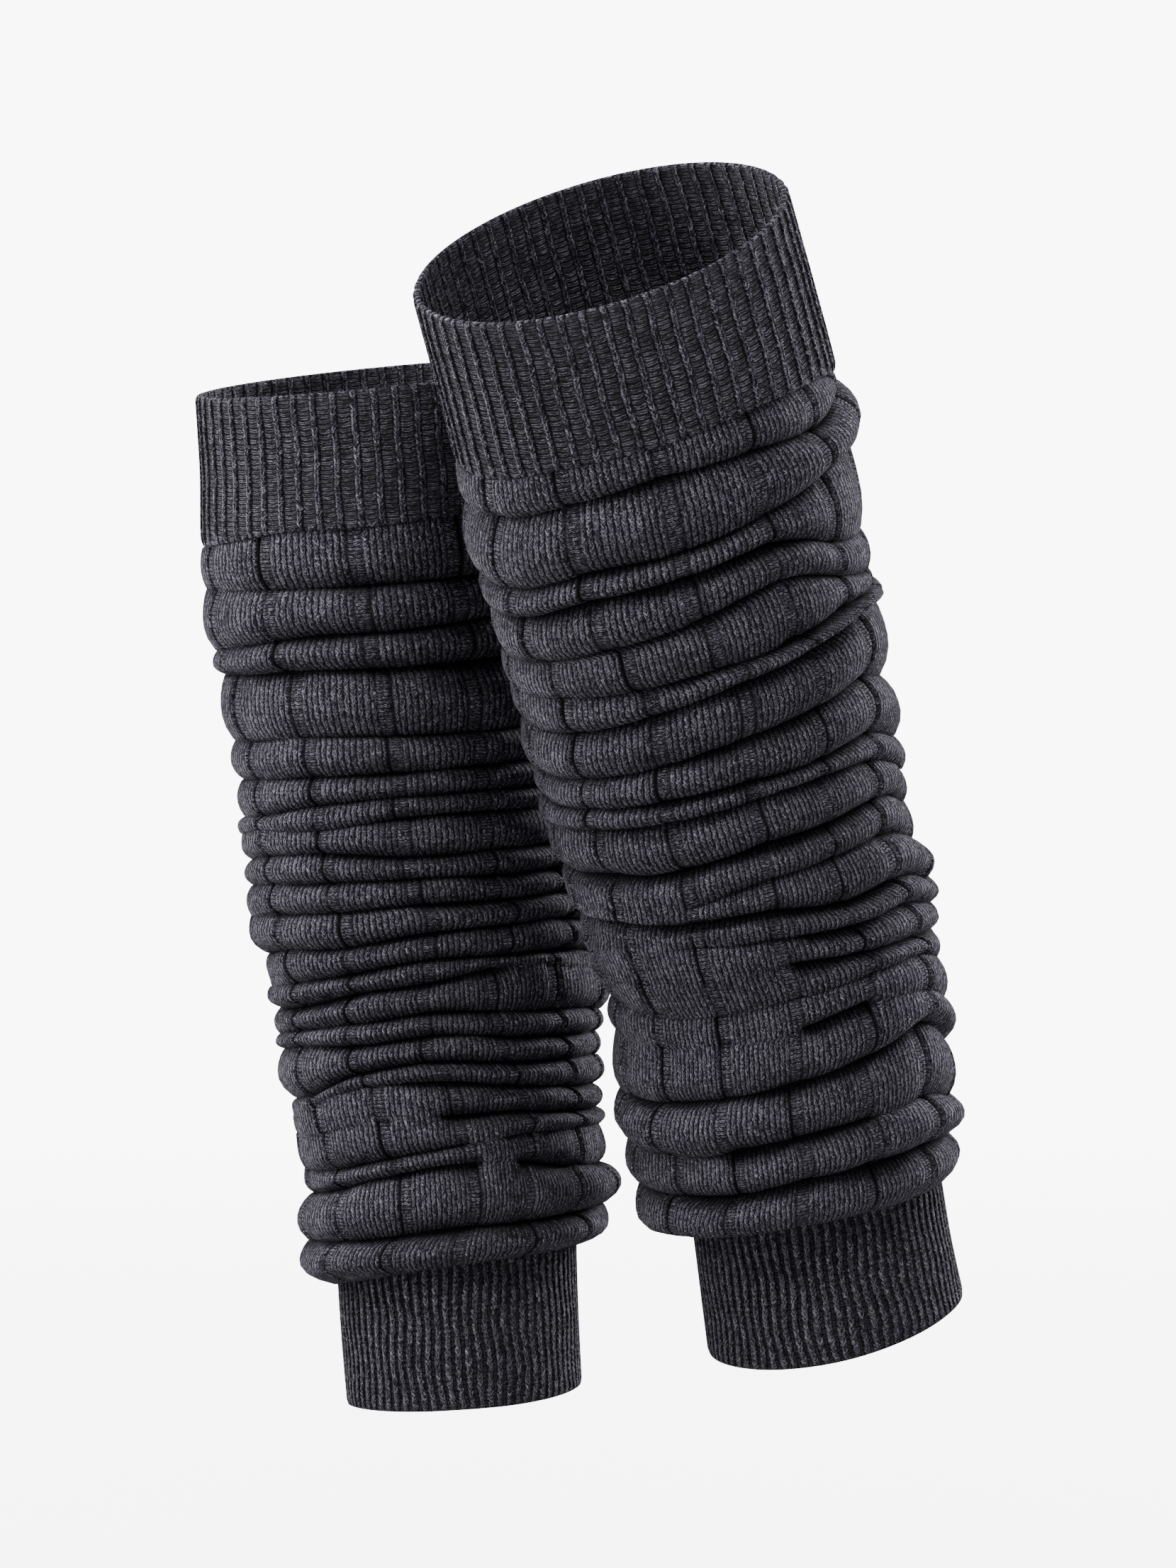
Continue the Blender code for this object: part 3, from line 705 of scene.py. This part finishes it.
def buried(depth):
    """How far a crease is hidden between its rolls: 0 in the open, 1 out of sight."""
    return np.clip((depth - OPEN_DEPTH) / (BURIED_DEPTH - OPEN_DEPTH), 0, 1)


def depth_round(depth, least_back):
    left, left_front, front, right_front, right = depth
    back = max(least_back, (left + right) / 2)
    right_back, left_back = (right + 2 * back) / 3, (left + 2 * back) / 3
    return front, right_front, right, right_back, back, left_back, left, left_front


def depth_along(depths, stretches, number, angle):
    """A crease's depth at each angle, as it waxes and wanes, with its own stretches set in."""
    depth = around(depths[number], angle)
    degrees = np.degrees(np.mod(angle + math.pi, math.tau) - math.pi)
    for stretch in stretches:
        if stretch.crease == number:
            from_end = np.minimum(degrees - stretch.start, stretch.end - degrees)
            inside = np.clip(from_end / STRETCH_END + 0.5, 0, 1)
            depth = depth + (stretch.depth - depth) * inside * inside * (3 - 2 * inside)
    return np.maximum(depth * (1 + waves(DEPTH_WAVES, angle, number)), 0)


def slide_round(slide):
    left, front, right = (math.radians(degrees) for degrees in slide)
    back = (left + right) / 2
    return front, right, (right + back) / 2, back, (left + back) / 2, left


def swell_round(swell, angle):
    left, right = swell
    return np.where(np.sin(angle) > 0, right, left) * np.sin(angle)**2


def groove_strength(side, angle, number):
    """How strongly the cloth is pulled into the groove on one side of a purl column."""
    turned = SIDE_CHANGE * np.sin(angle) + waves(GROOVE_SIDE_WAVES, angle, number)
    on_right = np.clip(0.5 + turned, 0, 1)
    pull = FRONT_PULL + SIDE_PULL * np.abs(np.sin(angle))
    strength = np.clip(pull * (GROOVE_MEAN + waves(GROOVE_WAVES, angle, number)), 0, 1)
    return np.where(side > 0, on_right, 1 - on_right) * strength


def down_of(points, rings, angle):
    """How far down the tube its own surface passes nearest to points at the same angles."""
    down = np.full(angle.shape, lengths_down(rings)[-1])
    for attempt in range(6):
        here = on_tube(rings, down, angle, 0.0)
        step = on_tube(rings, down + 1.0, angle, 0.0) - here
        down = down + ((points - here) * step).sum(-1) / (step * step).sum(-1)
    return down


def leg(name, rings, cuff_rings, seam, seam_depth, rolls, stretches, cloth_wool, node):
    """The slouched leg, roll by roll, with its lower edge tucked in behind the lower cuff."""
    turn, sink, purl, groove, side, wale = panel_columns()
    near_purl = np.clip((sink - FLAT_SINK) / (PURL_SINK - FLAT_SINK), 0, 1)
    creases = [crease_round(seam, 0)]
    depths = [depth_round(seam_depth, 0)]
    for number, roll in enumerate(rolls[:-1], 1):
        creases.append(crease_round(roll.crease, number))
        depths.append(depth_round(roll.depth, LEAST_BACK_DEPTH))
    slides = [slide_round(roll.slide) for roll in (rolls[0], *rolls, rolls[-1])]
    lip = on_tube(cuff_rings, LAST_LIP[0], turn, LAST_LIP[1])
    lip_down = down_of(lip, rings, turn)
    lip_depth = np.linalg.norm(on_tube(rings, lip_down, turn, 0.0) - lip, axis=-1) / MM

    first_down = around(creases[0], turn)
    outside = [on_tube(rings, first_down + FIRST_EDGE[0], turn, FIRST_EDGE[1])]
    first_in = FIRST_INSIDE[1] - around(depths[0], turn)
    inside = [on_tube(rings, first_down + FIRST_INSIDE[0], turn, first_in)]
    courses, inside_courses = [first_down / LEG_COURSE - 1], [first_down / LEG_COURSE]
    # Painted shade for every row of the outside: dark in a purl column's groove and deep in a buried
    # crease.
    dark = []
    for number, roll in enumerate(rolls):
        for row in ROLL_ROWS:
            own_slide = around(slides[number + 1], turn)
            next_slide = around(slides[number if row.share < 0.5 else number + 2], turn)
            shared = 0.5 * max(row.upper, row.lower)
            angle = turn + own_slide * (1 - shared) + next_slide * shared
            upper_down = around(creases[number], angle)
            upper_depth = depth_along(depths, stretches, number, angle)
            lower_down, lower_depth = lip_down, lip_depth
            if number < len(rolls) - 1:
                lower_down = around(creases[number + 1], angle)
                lower_depth = depth_along(depths, stretches, number + 1, angle)
            height = np.maximum(lower_down - upper_down, LEAST_ROLL)
            down = (upper_down + row.share * height + row.droop * lower_depth
                    + row.below * slot_width(upper_depth, height)
                    - row.above * slot_width(lower_depth, height))
            at = np.clip((down - upper_down) / height, 0, 1)
            upper_fall, lower_fall = roundness(at / BELLY), roundness((1 - at) / (1 - BELLY))
            upper_soft, lower_soft = soft_part(upper_depth, height), soft_part(lower_depth, height)
            inset = (upper_soft * upper_fall + row.upper * (upper_depth - upper_soft)
                     + lower_soft * lower_fall + row.lower * (lower_depth - lower_soft))
            swell = swell_round(roll.swell, angle) * (1 - SWELL_LOST * np.maximum(upper_fall, lower_fall))
            grooved = groove * groove_strength(side, angle, number)
            sunk = sink + GROOVE_LEAST * groove + GROOVE_DEPTH * grooved + PINCH * row.pinch * near_purl
            out = swell + waves(SURFACE_WAVES, angle, number) - inset - sunk
            outside.append(on_tube(rings, down, angle, out))
            # Courses run on into a crease as far as the cloth dips, from above and from below.
            into_crease = inset if row.share > 0.5 else -inset
            courses.append((down + into_crease) / LEG_COURSE)
            # Shade painted into the wool: along a purl column's groove, and deep in a crease hidden
            # between two rolls.
            hidden = np.maximum(row.upper * buried(upper_depth), row.lower * buried(lower_depth))
            dark.append(np.maximum(grooved, CREASE_PAINTED_SHADE * hidden))
            if row is CREASE_ROW or row is BELLY_ROW:
                room = CREASE_ROOM if row is CREASE_ROW else 0
                inside.append(on_tube(rings, down, angle, -CLOTH - inset - room))
                inside_courses.append(down / LEG_COURSE)
    for down, out in (LAST_TURN, TUCKED_IN):
        outside.append(on_tube(cuff_rings, down, turn, out))
        courses.append(courses[-1] + 1)

    points = np.stack(outside + inside[::-1])
    courses = np.stack(courses + inside_courses[::-1])
    plain_rows = len(points) - len(dark) - 1
    marks = {
        "ladder": np.stack([purl] * len(outside) + [np.ones_like(purl)] * len(inside)),
        "painted shade": np.stack([dark[0], *dark] + [np.zeros_like(purl)] * plain_rows),
    }
    return knit_tube(name, points, wale, PANELS * PANEL_WALES, courses, marks, cloth_wool, node)


FRONT_LOWER_RINGS = np.array((
    Ring(64.5, 96, -277, 40.5, 11, 4.0),
    Ring(67.5, 100, -297, 41.0, 12, 8.0),
    Ring(71, 104, -317, 42.0, 13, 12.0),
))
leg_wool = wool("charcoal plain knit wool", dark=(0.005, 0.0033, 0.010, 1),
                middle=(0.077, 0.068, 0.107, 1), light=(0.88, 0.83, 0.97, 1),
                relief=0.0011, rung_calm=0.1)
front_leg = leg("front_leg_knit", FRONT_RINGS, FRONT_LOWER_RINGS, FRONT_UPPER_SEAM, FRONT_SEAM_DEPTH,
                FRONT_ROLLS, FRONT_STRETCHES, leg_wool, "front_leg")

# Front leg warmer: lower cuff
# The narrow cuff at the ankle: wool in a one-by-one rib, ending in a dense, slightly warmer
# coloured edge. It is knitted on to the leg, whose last roll hangs over its upper end.

FRONT_HEM = Crease(43.2, 42.6, 42.7, 42.6, 41.5, 40.8, 41.5)
# The valley between two ribs carries painted shade, a dark line in its groove.
LOWER_RIB = np.array((
    RibPoint(0.00, 0.60, 0.0, 0.05, 0.50),
    RibPoint(0.17, 0.66, 0.0, 0.00, 0.72),
    RibPoint(0.33, 0.40, 0.0, 0.00, 0.92),
    RibPoint(0.41, -0.05, 0.5, 0.35, 1.10),
    RibPoint(0.50, -0.30, 1.0, 0.50, 1.50),
    RibPoint(0.59, -0.05, 0.5, 0.35, 1.90),
    RibPoint(0.67, 0.40, 0.0, 0.00, 2.08),
    RibPoint(0.83, 0.66, 0.0, 0.00, 2.28),
))
lower_wool = wool("charcoal one-by-one rib wool", dark=(0.018, 0.014, 0.026, 1),
                  middle=(0.088, 0.079, 0.112, 1), light=(0.56, 0.53, 0.60, 1),
                  relief=0.0009, rung_calm=0.2)
lower_knit = CuffKnit(LOWER_RIB, count=76, wander=0.009, hem=2.2, course=1.45, rows=34,
                      wool=lower_wool, slot="lower_cuff_wool")
front_lower = cuff("front_lower_cuff_knit", FRONT_LOWER_RINGS, lower_knit,
                   crease_round(FRONT_HEM, 0), "front_lower_cuff")

# Rear leg warmer: upper cuff
# The same wide ladder-rib cuff as the front one, on the other leg, which stands straighter.
# Its lower end is knitted on to the leg, as the front one's is.

REAR_RINGS = np.array((
    Ring(-78.5, 112, -9.5, 59.0, 5.5, 7.6),
    Ring(-76.5, 117, -34, 59.8, 5.5, 7.0),
    Ring(-75, 121, -59, 61.0, 5.0, 6.0),
    Ring(-70.5, 125, -94, 62.2, 5.0, 5.0),
    Ring(-67.5, 129, -129, 60.7, 4.5, 4.5),
    Ring(-65, 131, -160, 59.3, 4.0, 4.0),
    Ring(-62.5, 133, -188, 58.0, 4.0, 3.5),
    Ring(-59, 135, -211, 54.8, 3.5, 3.0),
    Ring(-57.5, 136, -235, 53.2, 3.5, 3.0),
    Ring(-54.5, 137, -258, 51.3, 3.5, 3.0),
    Ring(-52.5, 138, -277, 50.8, 4.0, 3.0),
    Ring(-53.5, 139, -298, 48.5, 4.5, 3.0),
    Ring(-52, 140, -312, 44.0, 5.0, 3.0),
))
REAR_UPPER_SEAM = Crease(51, 49, 46, 46, 45, 47, 50)
rear_seam = np.array(crease_round(REAR_UPPER_SEAM, 0))
rear_upper = cuff("rear_upper_cuff_knit", REAR_RINGS, upper_knit, rear_seam - SEAM_GAP / 2,
                  "rear_upper_cuff")

# Rear leg warmer: leg
# The second slouched leg, of the same thirteen panels. Its rolls are narrower and more even,
# and one deep pocket has opened low at its front.

REAR_SEAM_DEPTH = (0.3, 0.8, 1.0, 1.0, 0.5)
REAR_ROLLS = (
    Roll(Crease(65, 65, 65, 65, 65, 64, 67), (0.5, 3.5, 6.5, 6, 4), (1, 1), (-16, -9, -5)),
    Roll(Crease(85, 83, 80, 80, 79, 79, 80), (1, 5, 7.5, 6.5, 4.5), (2.5, 1), (-16, -9, -5)),
    Roll(Crease(93, 92, 91, 92, 92, 91, 92), (4, 5.5, 8.5, 7, 4.5), (1, 0), (-14, -8, -5)),
    Roll(Crease(115, 114, 113, 114, 115, 115, 118), (3, 4, 5.5, 6, 4), (0, 0), (-9, -5.5, -6)),
    Roll(Crease(128, 127, 126, 126, 126, 127, 130), (4, 4.5, 6, 6, 4), (-0.5, 0), (-5, -3.5, -6)),
    Roll(Crease(141, 139, 135, 134, 134, 136, 139), (3, 4, 5, 4.5, 4), (-1, 0), (-4, -3.5, -5)),
    Roll(Crease(147, 144, 144, 140.5, 141, 143, 146), (1, 1.5, 5, 5, 3.5), (0, 0), (-4, -3.5, -5)),
    Roll(Crease(156, 153, 152, 154, 154, 155, 158), (3, 4, 6.5, 5.5, 4), (0, 0), (-3, -3, -5)),
    Roll(Crease(164, 162, 161, 161, 162, 163, 167), (3, 4, 5.5, 5.5, 4), (0, 0), (-2, -2, -5)),
    Roll(Crease(174, 172, 171, 169.5, 170, 171, 176), (1, 4, 6, 5.5, 3.5), (0, 0), (-1.5, -1.5, -4)),
    Roll(Crease(187, 184, 183, 179.5, 179, 180, 186), (4, 5, 6.5, 5.5, 4), (1, 0), (0, 4, 2)),
    Roll(Crease(199, 196, 192, 188, 189, 190, 194), (0.5, 4.5, 6.5, 6, 4), (-1, 0), (0, 1.5, -1)),
    Roll(Crease(206, 204, 199, 196, 191.5, 197, 200), (3, 6.5, 6.5, 1.5, 1), (1.5, 0), (0, 0, -11)),
    Roll(Crease(215, 212, 209, 206, 208, 210, 213), (0.5, 4, 6, 5, 2), (1, 2), (-4, -3.6, -11)),
    Roll(Crease(220, 217, 216, 213.5, 216, 218, 220), (2, 4.5, 6, 6, 3), (1, 0), (-4, -3.6, -8)),
    Roll(Crease(236, 233, 225, 222, 224, 226, 228), (3.5, 5, 7.5, 6, 2.5), (1.5, -0.5), (-4, -3.6, -4)),
    Roll(Crease(242, 237, 230, 228.5, 232, 235, 237), (0.5, 1, 6, 6, 4), (-0.5, 0), (0, 1.7, -2)),
    Roll(Crease(248, 246, 241, 240, 240, 243, 245), (0.5, 0.5, 4, 7, 4.5), (0, -1), (2.5, 5.3, 1)),
    Roll(Crease(259, 258, 254, 250.5, 248, 249, 251), (1.5, 5, 4.5, 2.5, 2.5), (0, 0), (3.5, 5.3, 3)),
    Roll(Crease(268, 265, 259.5, 255.5, 257, 262, 264), (4, 5, 7, 5, 4.5), (-0.5, -1), (6, 8, 0)),
    Roll(Crease(283, 281, 279, 277, 277, 277, 278), (1.5, 6, 8, 7, 2.5), (3, 3.5), (8, 8, -6)),
    Roll(None, None, (3, 1.5), (0, 2, 4)),
)
REAR_STRETCHES = (
    Stretch(12, 26, 60, 6.5),
    Stretch(13, -2, 28, 7.0),
    Stretch(13, 31, 90, 0.3),
    Stretch(18, -90, -3, 0.4),
    Stretch(18, 0, 34, 8.5),
    Stretch(19, 8, 22, 0.4),
    Stretch(20, 11, 26, 0.0),
    Stretch(20, 28, 52, 8.0),
)
REAR_LOWER_RINGS = np.array((
    Ring(-53, 139, -299, 39.5, 9, -3.0),
    Ring(-52, 139.5, -321, 39.0, 7, 0.0),
    Ring(-50.5, 140, -344, 38.5, 5, 3.0),
))
rear_leg = leg("rear_leg_knit", REAR_RINGS, REAR_LOWER_RINGS, REAR_UPPER_SEAM, REAR_SEAM_DEPTH,
               REAR_ROLLS, REAR_STRETCHES, leg_wool, "rear_leg")

# Rear leg warmer: lower cuff
# The same narrow one-by-one rib as the front one, standing almost upright on the ankle,
# with the same dense edge.

REAR_HEM = Crease(46.2, 45.2, 45.1, 45.4, 46.6, 47.0, 46.4)
rear_lower = cuff("rear_lower_cuff_knit", REAR_LOWER_RINGS, lower_knit,
                  crease_round(REAR_HEM, 0), "rear_lower_cuff")
